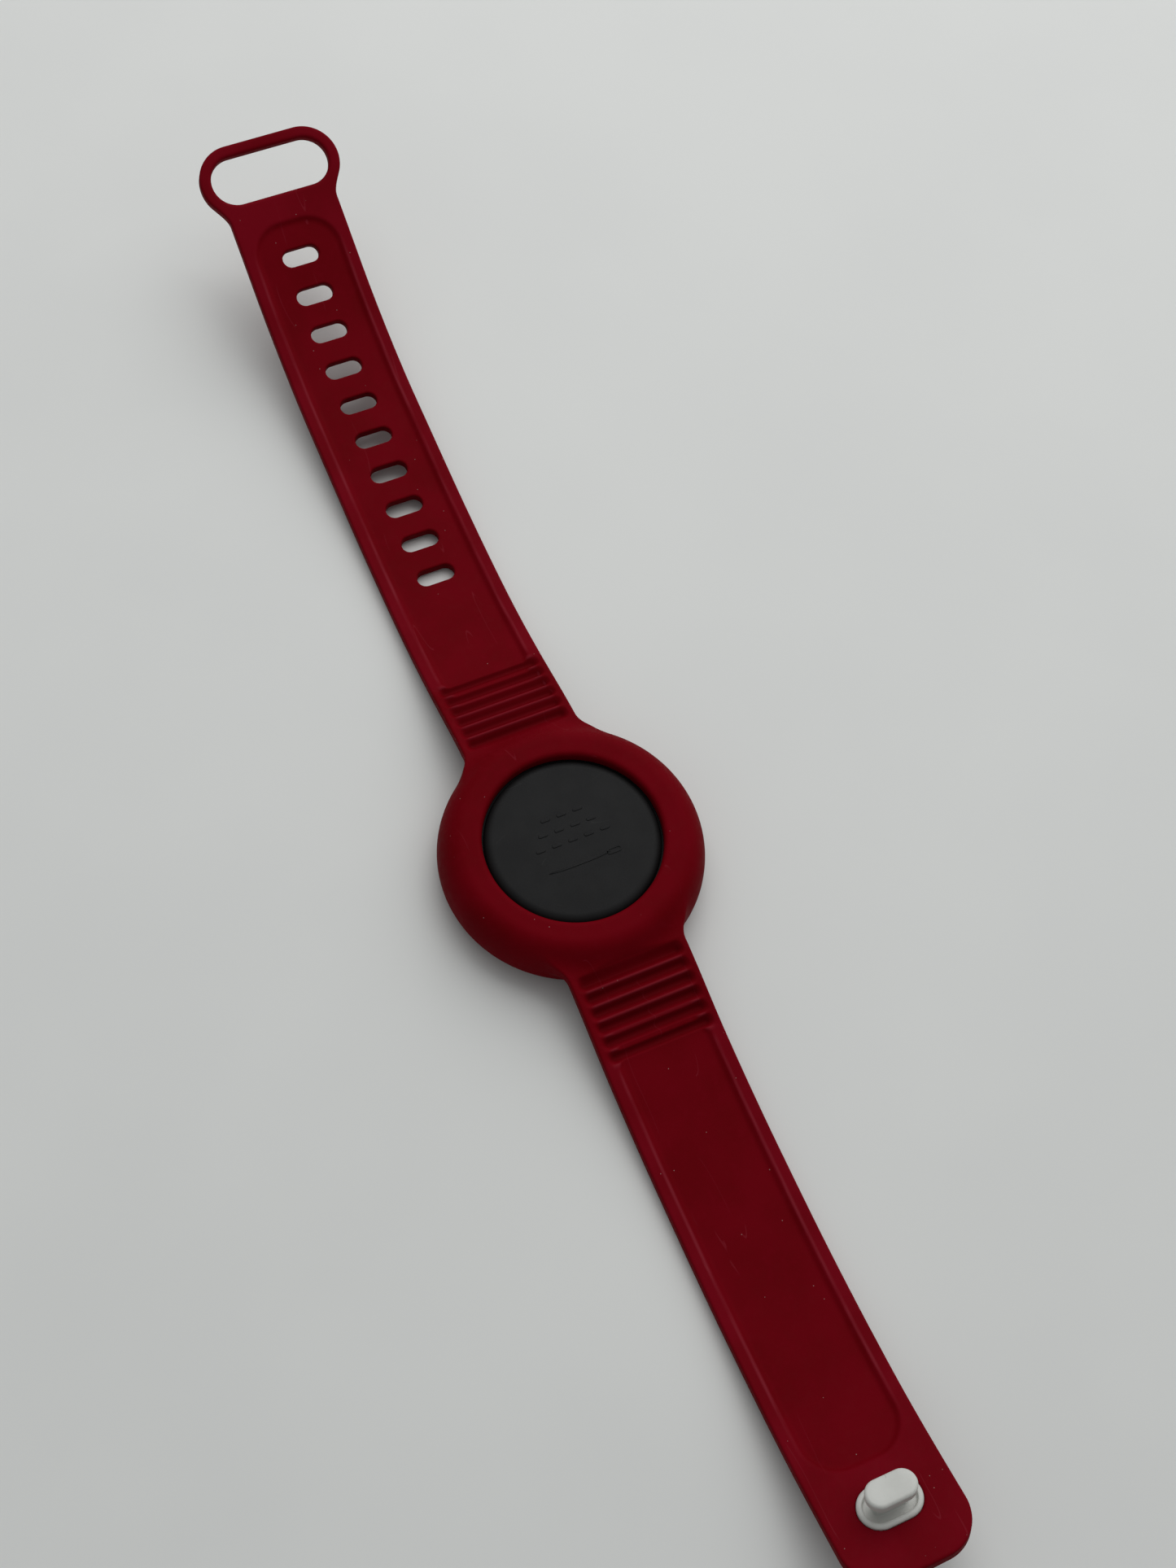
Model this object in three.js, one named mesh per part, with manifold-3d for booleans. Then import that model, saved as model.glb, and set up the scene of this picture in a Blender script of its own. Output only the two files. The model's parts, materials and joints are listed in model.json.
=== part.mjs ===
// Wrist pin cushion: a silicone wrist band whose centre ring grips a flat magnetic pin holder.
// Millimetres. The pin face is down on z = 0 with the origin at its centre, the skin side faces +Z,
// the strap with the stud runs to +X and the strap with the holes and the keeper loop runs to -X.
// The flexible straps are chains of links, one hinge about Y between each pair.

import * as THREE from 'three';
import * as BufferGeometryUtils from 'three/addons/utils/BufferGeometryUtils.js';
import Module from 'manifold-3d';

const wasm = await Module();
wasm.setup();

// ---------- driving dimensions ----------

const GAP = 0.3;                   // running gap between neighbouring pieces

const RING_RADIUS = 21;            // widest circle of the silicone ring
const RING_TOP = 10;               // crest of the ring above the pin face
const RING_WAIST_Z = 3.8;          // height of the widest circle
const RING_CREST_RADIUS = 16.8;    // where the dome of the ring becomes flat
const RING_BOTTOM = 0.4;           // the ring stops short of the table, the tray stands on it
const SKIN_OPENING_RADIUS = 14.1;
const PIN_OPENING_RADIUS = 16;
const LIP_LOWER_Z = 2.2;           // the insert's flange is held between two lips
const LIP_UPPER_Z = 8;
const FILLET_RADIUS = 4.6;         // ring to strap, in plan

const TRAY_WALL_TOP = 6.3;
const TRAY_FLOOR_TOP = 1.9;
const TRAY_CAVITY_RADIUS = 14.6;
const MAGNET_RADIUS = 13;
const MAGNET_THICKNESS = 2.8;
const KEEPER_THICKNESS = 0.8;
const COVER_FLANGE_THICKNESS = 1.1;
const COVER_FACE_Z = 8.8;          // skin-side face of the back cover, below the ring's crest
const COVER_EDGE_ROUND = 1.2;

const STRAP_WIDTH = 19.4;
const STRAP_THICKNESS = 2.2;
const STRAP_CHAMFER = 0.35;
const CHANNEL_DEPTH = 0.55;        // shallow channel between the two side rails
const CHANNEL_TOP_HALF = 7.9;
const CHANNEL_FLOOR_HALF = 7.0;
const GROOVE_RADIUS = 0.75;        // flexing grooves next to the ring
const GROOVE_HALF_LENGTH = 8.4;
const GROOVE_PITCH = 2.34;
const GROOVE_COUNT = 5;
const FIRST_GROOVE_X = 1.6;        // from the first hinge

const HOLE_LENGTH = 6.5;
const HOLE_WIDTH = 3;
const HOLE_PITCH = 7.1;
const FIRST_HOLE_X = 3.2;          // from the hinge of its link

const ROOT_HINGE_X = 22.5;         // first hinge of either strap
const ROOT_HINGE_Z = 5.9;
const RIB_LINK = 13.2;             // link lengths, hinge to hinge
const STUD_LINK = 12.2;
const SHORT_LINK = 8.8;
const HOLE_LINK = 2 * HOLE_PITCH;
const PAD_LENGTH = 20.7;
const LOOP_LENGTH = 17.8;

const PAD_CORNER_RADIUS = 5.8;
const PAD_CHANNEL_END = 4.2;       // from the hinge of the pad
const STUD_X = 11;                 // stud centre from the hinge of the pad
const COLLAR = { length: 9.6, width: 6.2, rise: 0.5, sink: 0.7 };
const COLLAR_RECESS = { length: 7.8, width: 4.4, depth: 0.5 };
const NECK = { length: 5.4, width: 2.3 };
const HEAD = { length: 7.8, width: 4.3, thickness: 1.4, top: 4.7 };
const CAP_THICKNESS = 1.0;
const CAP_SOCKET_DEPTH = 0.7;

const LOOP_CENTRE_X = 11.6;
const LOOP_OPENING = { length: 20.6, width: 8 };
const LOOP_RIM = 2.2;
const LOOP_NECK_FILLET = 4;
const LOOP_CHANNEL_END = 2.5;

const CIRCLE_STEPS = 48;
const ARC_STEPS = 5;               // an arc of an outline is drawn with twice as many edges
const GROOVE_STEPS = 10;
const HALF_T = STRAP_THICKNESS / 2;
const HALF_W = STRAP_WIDTH / 2;

// Each link: name, length to the next hinge, slope at rest in degrees above the table.
const STUD_STRAP = [
  ['stud_rib_link', RIB_LINK, -12.4],
  ['stud_link_1', STUD_LINK, -6.8],
  ['stud_link_2', STUD_LINK, -2.2],
  ['stud_link_3', STUD_LINK, 0.7],
  ['stud_link_4', STUD_LINK, 5.1],
  ['stud_link_5', STUD_LINK, 9.6],
  ['stud_pad', PAD_LENGTH, 17],
];
const HOLE_STRAP = [
  ['hole_rib_link', RIB_LINK, -12.4],
  ['hole_link_1', SHORT_LINK, -8.7],
  ['hole_link_2', SHORT_LINK, -2.6],
  ['hole_link_3', HOLE_LINK, 1.9],
  ['hole_link_4', HOLE_LINK, 5.7],
  ['hole_link_5', HOLE_LINK, 7.4],
  ['hole_link_6', HOLE_LINK, 16],
  ['hole_link_7', HOLE_LINK, 24],
  ['keeper_loop', LOOP_LENGTH, 24.7],
];

const SILICONE = { color: 0x8e0c1c, roughness: 0.55, metalness: 0 };
const BLACK_PLASTIC = { color: 0x1c1c1c, roughness: 0.5, metalness: 0 };
const WHITE_PLASTIC = { color: 0xd8d9d3, roughness: 0.4, metalness: 0 };
const FERRITE = { color: 0x3a3a3c, roughness: 0.7, metalness: 0.2 };
const STEEL = { color: 0xb4b6b8, roughness: 0.35, metalness: 1 };

// ---------- closed solids and booleans ----------

function toSolid(geometry) {
  const bare = geometry.clone();
  bare.deleteAttribute('normal');
  bare.deleteAttribute('uv');
  const merged = BufferGeometryUtils.mergeVertices(bare, 1e-5);
  return new wasm.Manifold(new wasm.Mesh({
    numProp: 3,
    vertProperties: new Float32Array(merged.attributes.position.array),
    triVerts: new Uint32Array(merged.index.array),
  }));
}

function toGeometry(solid) {
  const mesh = solid.getMesh();
  const geometry = new THREE.BufferGeometry();
  geometry.setAttribute('position', new THREE.BufferAttribute(new Float32Array(mesh.vertProperties), 3));
  geometry.setIndex(new THREE.BufferAttribute(new Uint32Array(mesh.triVerts), 1));
  geometry.computeVertexNormals();
  return geometry;
}

function piece(name, solid, finish) {
  const mesh = new THREE.Mesh(toGeometry(solid), new THREE.MeshStandardMaterial(finish));
  mesh.name = name;
  return mesh;
}

// A plan outline raised from z = low to z = high.
function plate(shape, low, high) {
  const options = { depth: high - low, bevelEnabled: false, curveSegments: ARC_STEPS };
  const geometry = new THREE.ExtrudeGeometry(shape, options);
  geometry.translate(0, 0, low);
  return toSolid(geometry);
}

// A side outline, drawn as x and height, spread over y from -halfWidth to +halfWidth.
function sideways(shape, halfWidth) {
  const options = { depth: 2 * halfWidth, bevelEnabled: false, curveSegments: ARC_STEPS };
  const geometry = new THREE.ExtrudeGeometry(shape, options);
  geometry.rotateX(Math.PI / 2);
  geometry.translate(0, halfWidth, 0);
  return toSolid(geometry);
}

// A cross-section, drawn as y and height, run along x from start to end.
function lengthways(points, start, end) {
  const shape = new THREE.Shape(points.map(([y, z]) => new THREE.Vector2(y, z)));
  const geometry = new THREE.ExtrudeGeometry(shape, { depth: end - start, bevelEnabled: false });
  geometry.rotateX(Math.PI / 2);
  geometry.rotateZ(Math.PI / 2);
  geometry.translate(start, 0, 0);
  return toSolid(geometry);
}

// A closed outline of radius and height turned about Z.
function turned(points) {
  const outline = points.map(([r, z]) => new THREE.Vector2(r, z));
  const geometry = new THREE.LatheGeometry([...outline, outline[0].clone()], CIRCLE_STEPS);
  geometry.rotateX(Math.PI / 2);
  return toSolid(geometry);
}

function disc(radius, low, high) {
  const geometry = new THREE.CylinderGeometry(radius, radius, high - low, CIRCLE_STEPS);
  geometry.rotateX(Math.PI / 2);
  geometry.translate(0, 0, (low + high) / 2);
  return toSolid(geometry);
}

// Stadium whose long axis lies across the strap.
function stadium(length, width, centreX) {
  const radius = width / 2;
  const reach = length / 2 - radius;
  const shape = new THREE.Shape();
  shape.absarc(centreX, reach, radius, 0, Math.PI, false);
  shape.absarc(centreX, -reach, radius, Math.PI, 2 * Math.PI, false);
  shape.closePath();
  return shape;
}

function arcPoints(centreR, centreZ, radiusR, radiusZ, from, to, steps) {
  return Array.from({ length: steps + 1 }, (_, i) => {
    const angle = THREE.MathUtils.degToRad(from + (to - from) * i / steps);
    return [centreR + radiusR * Math.cos(angle), centreZ + radiusZ * Math.sin(angle)];
  });
}

// ---------- the centre: ring and pin holder ----------

function ringRoot() {
  const reach = RING_RADIUS + FILLET_RADIUS;
  const centreY = HALF_W + FILLET_RADIUS;
  const centreX = Math.sqrt(reach * reach - centreY * centreY);
  const touch = Math.atan2(centreY, centreX);
  const end = ROOT_HINGE_X - HALF_T - GAP;
  const plan = new THREE.Shape();
  plan.moveTo(10, -RING_RADIUS * Math.sin(touch));
  plan.lineTo(RING_RADIUS * Math.cos(touch), -RING_RADIUS * Math.sin(touch));
  plan.absarc(centreX, -centreY, FILLET_RADIUS, Math.PI - touch, Math.PI / 2, true);
  plan.lineTo(end + 2, -HALF_W);
  plan.lineTo(end + 2, HALF_W);
  plan.absarc(centreX, centreY, FILLET_RADIUS, -Math.PI / 2, touch - Math.PI, true);
  plan.lineTo(10, RING_RADIUS * Math.sin(touch));
  plan.closePath();

  const slope = Math.tan(THREE.MathUtils.degToRad(-STUD_STRAP[0][2]));
  const heightAt = (x) => ROOT_HINGE_Z + (ROOT_HINGE_X - x) * slope;
  const side = new THREE.Shape();
  side.moveTo(10, heightAt(10) - HALF_T);
  side.lineTo(end, heightAt(end) - HALF_T);
  side.lineTo(end, heightAt(end) + HALF_T);
  side.lineTo(10, heightAt(10) + HALF_T);
  side.closePath();

  return plate(plan, 0, RING_TOP)
    .intersect(sideways(side, RING_RADIUS))
    .subtract(disc(RING_RADIUS - 2.4, -1, RING_TOP + 1));
}

function siliconeRing() {
  const dome = RING_RADIUS - RING_CREST_RADIUS;
  const grooveRadius = RING_RADIUS - 3.4;
  const body = turned([
    [SKIN_OPENING_RADIUS, LIP_UPPER_Z],
    [grooveRadius, LIP_UPPER_Z],
    [grooveRadius, LIP_LOWER_Z],
    [PIN_OPENING_RADIUS, LIP_LOWER_Z],
    [PIN_OPENING_RADIUS, RING_BOTTOM + 0.3],
    [PIN_OPENING_RADIUS + 0.3, RING_BOTTOM],
    ...arcPoints(RING_CREST_RADIUS + 1, RING_WAIST_Z, dome - 1, RING_WAIST_Z - RING_BOTTOM, -90, -15, 5),
    ...arcPoints(RING_CREST_RADIUS, RING_WAIST_Z, dome, RING_TOP - RING_WAIST_Z, 0, 90, 9),
    ...arcPoints(SKIN_OPENING_RADIUS + 0.8, RING_TOP - 0.8, 0.8, 0.8, 90, 180, 3),
  ]);
  const root = ringRoot();
  return body.add(root).add(root.rotate([0, 0, 180]));
}

function pinTray() {
  const flange = RING_RADIUS - 3.4 - GAP;
  const neck = PIN_OPENING_RADIUS - GAP;
  return turned([
    [0, 0],
    [neck - 0.8, 0],
    ...arcPoints(neck - 0.8, 0.8, 0.8, 0.8, -60, 0, 2),
    [neck, LIP_LOWER_Z + GAP],
    [flange, LIP_LOWER_Z + GAP],
    [flange, TRAY_WALL_TOP],
    [TRAY_CAVITY_RADIUS, TRAY_WALL_TOP],
    [TRAY_CAVITY_RADIUS, TRAY_FLOOR_TOP],
    [0, TRAY_FLOOR_TOP],
  ]);
}

function backCover() {
  const flange = RING_RADIUS - 3.4 - GAP;
  const base = TRAY_WALL_TOP + GAP;
  const shoulder = base + COVER_FLANGE_THICKNESS;
  const face = SKIN_OPENING_RADIUS - GAP;
  const spigotOuter = TRAY_CAVITY_RADIUS - GAP;
  const spigotInner = MAGNET_RADIUS + GAP;
  return turned([
    [0, base],
    [spigotInner, base],
    [spigotInner, base - 1.2],
    [spigotOuter, base - 1.2],
    [spigotOuter, base],
    [flange, base],
    [flange, shoulder],
    [face, shoulder],
    ...arcPoints(face - COVER_EDGE_ROUND, COVER_FACE_Z - COVER_EDGE_ROUND, COVER_EDGE_ROUND,
      COVER_EDGE_ROUND, 15, 90, 4),
    [0, COVER_FACE_Z],
  ]);
}

function centrePieces() {
  const magnetBase = TRAY_FLOOR_TOP + GAP;
  const keeperBase = magnetBase + MAGNET_THICKNESS + GAP;
  return [
    piece('silicone_ring', siliconeRing(), SILICONE),
    piece('pin_tray', pinTray(), BLACK_PLASTIC),
    piece('magnet', disc(MAGNET_RADIUS, magnetBase, magnetBase + MAGNET_THICKNESS), FERRITE),
    piece('keeper_plate', disc(MAGNET_RADIUS, keeperBase, keeperBase + KEEPER_THICKNESS), STEEL),
    piece('back_cover', backCover(), BLACK_PLASTIC),
  ];
}

// ---------- the straps ----------

// Blank of one link: round about its own hinge at x = 0, square where the next link begins.
function linkBlank(length, isLast, width = STRAP_WIDTH) {
  const end = isLast ? length : length - HALF_T - GAP;
  const half = width / 2;
  const cut = STRAP_CHAMFER;
  const section = [
    [-half + cut, -HALF_T], [half - cut, -HALF_T], [half, -HALF_T + cut], [half, HALF_T - cut],
    [half - cut, HALF_T], [-half + cut, HALF_T], [-half, HALF_T - cut], [-half, -HALF_T + cut],
  ];
  const side = new THREE.Shape();
  side.absarc(0, 0, HALF_T, Math.PI / 2, 1.5 * Math.PI, false);
  side.lineTo(end, -HALF_T);
  side.lineTo(end, HALF_T);
  side.closePath();
  return lengthways(section, -HALF_T - 1, end + 1).intersect(sideways(side, half + 1));
}

// The shallow channel, open at the hinge end and either open or rounded at the other.
function channelCutter(start, end, isRounded) {
  const floor = HALF_T - CHANNEL_DEPTH;
  const over = 1;
  const slope = (CHANNEL_TOP_HALF - CHANNEL_FLOOR_HALF) / CHANNEL_DEPTH;
  const wide = CHANNEL_TOP_HALF + over * slope;
  const section = [[-CHANNEL_FLOOR_HALF, floor], [CHANNEL_FLOOR_HALF, floor], [wide, HALF_T + over],
    [-wide, HALF_T + over]];
  if (!isRounded) return lengthways(section, start, end);
  const roundLength = 4;
  const height = HALF_T + over - floor;
  const cap = new THREE.CylinderGeometry(wide, CHANNEL_FLOOR_HALF, height, CIRCLE_STEPS / 2);
  cap.rotateX(Math.PI / 2);
  cap.scale(roundLength / CHANNEL_TOP_HALF, 1, 1);
  cap.translate(end - roundLength, 0, floor + height / 2);
  return lengthways(section, start, end - roundLength).add(toSolid(cap));
}

function ribLink(length) {
  let solid = linkBlank(length, false);
  for (let i = 0; i < GROOVE_COUNT; i += 1) {
    const across = 2 * GROOVE_HALF_LENGTH;
    const groove = new THREE.CylinderGeometry(GROOVE_RADIUS, GROOVE_RADIUS, across, GROOVE_STEPS);
    groove.translate(FIRST_GROOVE_X + i * GROOVE_PITCH, 0, HALF_T);
    solid = solid.subtract(toSolid(groove));
  }
  return solid;
}

function plainLink(length) {
  return linkBlank(length, false).subtract(channelCutter(-HALF_T - 1, length, false));
}

function holeLink(length) {
  let solid = plainLink(length);
  for (let i = 0; i < 2; i += 1) {
    const hole = stadium(HOLE_LENGTH, HOLE_WIDTH, FIRST_HOLE_X + i * HOLE_PITCH);
    solid = solid.subtract(plate(hole, -HALF_T - 1, HALF_T + 1));
  }
  return solid;
}

function studPad(length) {
  const plan = new THREE.Shape();
  const turnX = length - PAD_CORNER_RADIUS;
  const turnY = HALF_W - PAD_CORNER_RADIUS;
  plan.moveTo(-HALF_T - 1, -HALF_W - 1);
  plan.lineTo(turnX, -HALF_W - 1);
  plan.lineTo(turnX, -HALF_W);
  plan.absarc(turnX, -turnY, PAD_CORNER_RADIUS, -Math.PI / 2, 0, false);
  plan.absarc(turnX, turnY, PAD_CORNER_RADIUS, 0, Math.PI / 2, false);
  plan.lineTo(turnX, HALF_W + 1);
  plan.lineTo(-HALF_T - 1, HALF_W + 1);
  plan.closePath();
  const pocket = stadium(COLLAR.length + 2 * GAP, COLLAR.width + 2 * GAP, STUD_X);
  const slot = stadium(NECK.length + 2 * GAP, NECK.width + 2 * GAP, STUD_X);
  return linkBlank(length, true)
    .intersect(plate(plan, -HALF_T - 1, HALF_T + 1))
    .subtract(channelCutter(-HALF_T - 1, PAD_CHANNEL_END, true))
    .subtract(plate(pocket, HALF_T - COLLAR.sink, HALF_T + 1))
    .subtract(plate(slot, -HALF_T - 1, HALF_T + 1));
}

// The closure stud: collar with a sunken floor, neck, oval head, and a tail through the pad.
function closureStud() {
  const collarLow = HALF_T - COLLAR.sink + GAP;
  const collarTop = HALF_T + COLLAR.rise;
  const headLow = HALF_T + HEAD.top - HEAD.thickness;
  const tailLow = -HALF_T - GAP - CAP_SOCKET_DEPTH + GAP;
  const recess = stadium(COLLAR_RECESS.length, COLLAR_RECESS.width, STUD_X);
  return plate(stadium(COLLAR.length, COLLAR.width, STUD_X), collarLow, collarTop)
    .subtract(plate(recess, collarTop - COLLAR_RECESS.depth, collarTop + 1))
    .add(plate(stadium(NECK.length, NECK.width, STUD_X), tailLow, headLow + 0.5))
    .add(plate(stadium(HEAD.length, HEAD.width, STUD_X), headLow, headLow + HEAD.thickness));
}

function studBackCap() {
  const top = -HALF_T - GAP;
  const socket = stadium(NECK.length + 2 * GAP, NECK.width + 2 * GAP, STUD_X);
  return plate(stadium(COLLAR.length, COLLAR.width, STUD_X), top - CAP_THICKNESS, top)
    .subtract(plate(socket, top - CAP_SOCKET_DEPTH, top + 1));
}

function keeperLoop(length) {
  const outer = LOOP_OPENING.width / 2 + LOOP_RIM;
  const reach = LOOP_OPENING.length / 2 - LOOP_OPENING.width / 2;
  const filletY = HALF_W + LOOP_NECK_FILLET;
  const span = outer + LOOP_NECK_FILLET;
  const rise = filletY - reach;
  const filletX = LOOP_CENTRE_X - Math.sqrt(span * span - rise * rise);
  const touch = Math.atan2(rise, filletX - LOOP_CENTRE_X);
  const plan = new THREE.Shape();
  plan.moveTo(-HALF_T - 1, -HALF_W);
  plan.lineTo(filletX, -HALF_W);
  plan.absarc(filletX, -filletY, LOOP_NECK_FILLET, Math.PI / 2, Math.PI - touch, true);
  plan.absarc(LOOP_CENTRE_X, -reach, outer, -touch, 0, false);
  plan.absarc(LOOP_CENTRE_X, reach, outer, 0, touch, false);
  plan.absarc(filletX, filletY, LOOP_NECK_FILLET, touch - Math.PI, -Math.PI / 2, true);
  plan.lineTo(-HALF_T - 1, HALF_W);
  plan.closePath();
  const opening = stadium(LOOP_OPENING.length, LOOP_OPENING.width, LOOP_CENTRE_X);
  return linkBlank(length, true, LOOP_OPENING.length + 2 * LOOP_RIM + 2)
    .intersect(plate(plan, -HALF_T - 1, HALF_T + 1))
    .subtract(channelCutter(-HALF_T - 1, LOOP_CHANNEL_END, true))
    .subtract(plate(opening, -HALF_T - 1, HALF_T + 1));
}

function linkPieces(name, length) {
  if (name.includes('rib')) return [piece(name, ribLink(length), SILICONE)];
  if (length === HOLE_LINK) return [piece(name, holeLink(length), SILICONE)];
  if (name === 'keeper_loop') return [piece(name, keeperLoop(length), SILICONE)];
  if (name !== 'stud_pad') return [piece(name, plainLink(length), SILICONE)];
  return [
    piece(name, studPad(length), SILICONE),
    piece('closure_stud', closureStud(), WHITE_PLASTIC),
    piece('stud_back_cap', studBackCap(), WHITE_PLASTIC),
  ];
}

// One strap: every link stands on its hinge, at its own slope.
function strap(links) {
  const side = new THREE.Group();
  let x = ROOT_HINGE_X;
  let z = ROOT_HINGE_Z;
  for (const [name, length, slope] of links) {
    const angle = THREE.MathUtils.degToRad(slope);
    const link = new THREE.Group();
    link.position.set(x, 0, z);
    link.rotation.y = -angle;
    link.add(...linkPieces(name, length));
    side.add(link);
    x += length * Math.cos(angle);
    z += length * Math.sin(angle);
  }
  return side;
}

const wristPinCushion = new THREE.Group();
const studStrap = strap(STUD_STRAP);
const holeStrap = strap(HOLE_STRAP);
holeStrap.rotation.z = Math.PI;
wristPinCushion.add(...centrePieces(), studStrap, holeStrap);

export default wristPinCushion;
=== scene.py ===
"""Looks of the wrist pin cushion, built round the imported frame.

A red silicone band lies skin side up: a ring that grips a black magnetic pin holder, a strap with
a white stud, and a strap with holes and a keeper loop. Lengths are millimetres until a mesh is made.
The band is drawn unrolled, as s along it from the ring's centre, y across it and n above its middle
surface, and is then bent along a smooth curve through the frame's hinges.
"""

import json
import math

import bmesh
import bpy
import numpy as np
from mathutils import Matrix, Vector

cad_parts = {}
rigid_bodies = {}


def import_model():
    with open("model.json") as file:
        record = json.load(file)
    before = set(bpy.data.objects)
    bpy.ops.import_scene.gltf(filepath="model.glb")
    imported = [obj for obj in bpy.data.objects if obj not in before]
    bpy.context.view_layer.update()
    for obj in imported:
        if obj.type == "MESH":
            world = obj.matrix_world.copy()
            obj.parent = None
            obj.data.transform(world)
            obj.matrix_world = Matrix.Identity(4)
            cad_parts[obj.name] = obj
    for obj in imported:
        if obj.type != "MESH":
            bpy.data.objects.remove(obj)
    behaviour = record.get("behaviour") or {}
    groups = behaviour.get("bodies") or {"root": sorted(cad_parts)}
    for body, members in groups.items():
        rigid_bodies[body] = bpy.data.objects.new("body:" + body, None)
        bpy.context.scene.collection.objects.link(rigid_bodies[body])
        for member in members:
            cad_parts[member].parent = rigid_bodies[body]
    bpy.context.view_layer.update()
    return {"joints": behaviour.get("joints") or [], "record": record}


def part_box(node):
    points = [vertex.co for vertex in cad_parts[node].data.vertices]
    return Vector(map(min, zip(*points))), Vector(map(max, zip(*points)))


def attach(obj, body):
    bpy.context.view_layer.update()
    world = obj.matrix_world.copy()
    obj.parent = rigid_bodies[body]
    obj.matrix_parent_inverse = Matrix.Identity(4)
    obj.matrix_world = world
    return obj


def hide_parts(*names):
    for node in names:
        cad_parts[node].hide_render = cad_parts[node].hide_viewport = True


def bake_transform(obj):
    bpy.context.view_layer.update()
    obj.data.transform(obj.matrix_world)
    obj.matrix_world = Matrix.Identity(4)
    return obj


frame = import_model()

MM = 0.001

# ---------- driving dimensions, the same as the frame's ----------

RING_RADIUS = 21.0
RING_TOP = 10.0
RING_WAIST_Z = 3.8
RING_CREST_RADIUS = 16.8
RING_LOWER_RADIUS = 17.8           # where the ring's underside starts to round up
RING_BOTTOM = 0.4
SKIN_OPENING_RADIUS = 14.1
SKIN_OPENING_ROUND = 0.8
PIN_OPENING_RADIUS = 16.0
PIN_OPENING_ROUND = 0.3
LIP_LOWER_Z = 2.2
LIP_UPPER_Z = 8.0
GRIP_RADIUS = RING_RADIUS - 3.4    # bottom of the groove that grips the insert
GAP = 0.3

STRAP_HALF_WIDTH = 9.7
HALF_T = 1.1                       # half the strap's thickness
EDGE_ROUND = 0.45
ROOT_CIRCLE = 20.6                 # the strap's root widens into this circle
ROOT_FILLET = 2.4                  # plan fillet between that circle and the strap
ROOT_FADE = (math.radians(30), math.radians(44))    # the widened root sinks into the ring here
ROOT_BLEND = 1.6                   # how softly the strap runs into the ring's dome
ROOT_INNER_RADIUS = 19.4           # the strap's root is buried in the ring as far as this

CHANNEL_DEPTH = 0.5
CHANNEL_HALF_WIDTH = 7.3           # middle of the channel's sloping sides
CHANNEL_SLOPE = 1.3                # width of those sides
CHANNEL_CORNER = 5.5
STUD_CHANNEL_END = 101.2
HOLE_CHANNEL_END = 126.6
RIB_CHANNEL_HALF_WIDTH = 6.7       # the channel is narrower where it runs out over the ribs
CHANNEL_NARROWING = (33.4, 35.6)   # where it changes from one width to the other
CHANNEL_SOFTNESS = 0.12            # how softly its sides run into its floor and the rails
CHANNEL_RUN_OUT = (24.0, 36.5)     # it fades from its full depth to nothing over the ribs

GROOVE_PITCH = 2.34
FIRST_GROOVE_S = 21.9
GROOVE_COUNT = 6
GROOVE_DEPTH = 1.0
GROOVE_CREST_POWER = 0.62          # below 1 the crests are narrower than the troughs
FIRST_GROOVE_EXTRA = 0.12
FIRST_GROOVE_REACH = 1.5           # the first groove reaches this far back, to the foot of the dome
GROOVE_ENDS = (7.5, 9.1)           # the grooves run out to nothing across these y
GROOVE_END_SLOPE = 1.5             # how steeply the floor rises past the outer two grooves
GROOVE_SOFTNESS = 0.15

HOLE_PITCH = 7.1
FIRST_HOLE_S = 56.6
HOLE_COUNT = 10
HOLE_RADIUS = 1.5
HOLE_CORE = 1.75                   # half the straight length of a hole
HOLE_EDGE_ROUND = 0.28

PAD_END_S = 117.5
PAD_CORNER = 5.8
PAD_BOW = 0.35                     # the strap's end is slightly bowed
LOOP_S = 136.0
LOOP_CORE = 6.3
LOOP_OPENING_RADIUS = 4.2
LOOP_RIM = 2.0
LOOP_NECK_FILLET = 1.8
LOOP_EDGE_ROUND = 0.55

STUD_S = 107.8
STUD_CORE = 1.7
COLLAR_RADIUS = 3.1
COLLAR_RIM_RADIUS = 2.32          # inside it the collar's top is hollow
COLLAR_WELL_RADIUS = 2.16
COLLAR_WELL_DEPTH = 0.65
COLLAR_SINK = 0.7
COLLAR_RISE = 0.4
NECK_RADIUS = 0.9
HEAD_RADIUS = 2.15
HEAD_TOP = 4.75
HEAD_THICKNESS = 1.7
FIT = 0.05                         # clearance between the stud and its pocket
POCKET_EDGE_ROUND = 0.06
STUD_TAIL = 0.9                    # how far the stud reaches below the strap
BACK_PLATE_THICKNESS = 1.1
BACK_PLATE_WELL = 0.5              # depth of the hollow that takes the stud's tail

TRAY_TOP = 6.3
TRAY_CAVITY_RADIUS = 14.6
TRAY_FLOOR_Z = 1.9
COVER_BASE = TRAY_TOP + GAP
COVER_SHOULDER = COVER_BASE + 1.1
COVER_FACE_Z = 8.8
COVER_RADIUS = SKIN_OPENING_RADIUS - GAP
COVER_EDGE_WIDTH = 1.5             # the face's rounded edge is a quarter of an ellipse
COVER_EDGE_HEIGHT = 1.0
SPIGOT_INNER_RADIUS = 13.3         # the cover's rim that stands in the tray's cavity
SPIGOT_LENGTH = 1.2
MAGNET_RADIUS = 13

MOTIF_SINK = 0.15                  # how deep the raised motif is rooted in the cover's face
MOTIF_RISE = 0.1
NEEDLE_X = 4.0
STITCH_ROWS = (3, 4, 5)            # stitches in each row
FIRST_ROW_X = -4.6
ROW_PITCH = 2.3
STITCH_PITCH = 2.7
STITCH_RADIUS = 0.3
STITCH_CORE = 0.5

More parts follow.
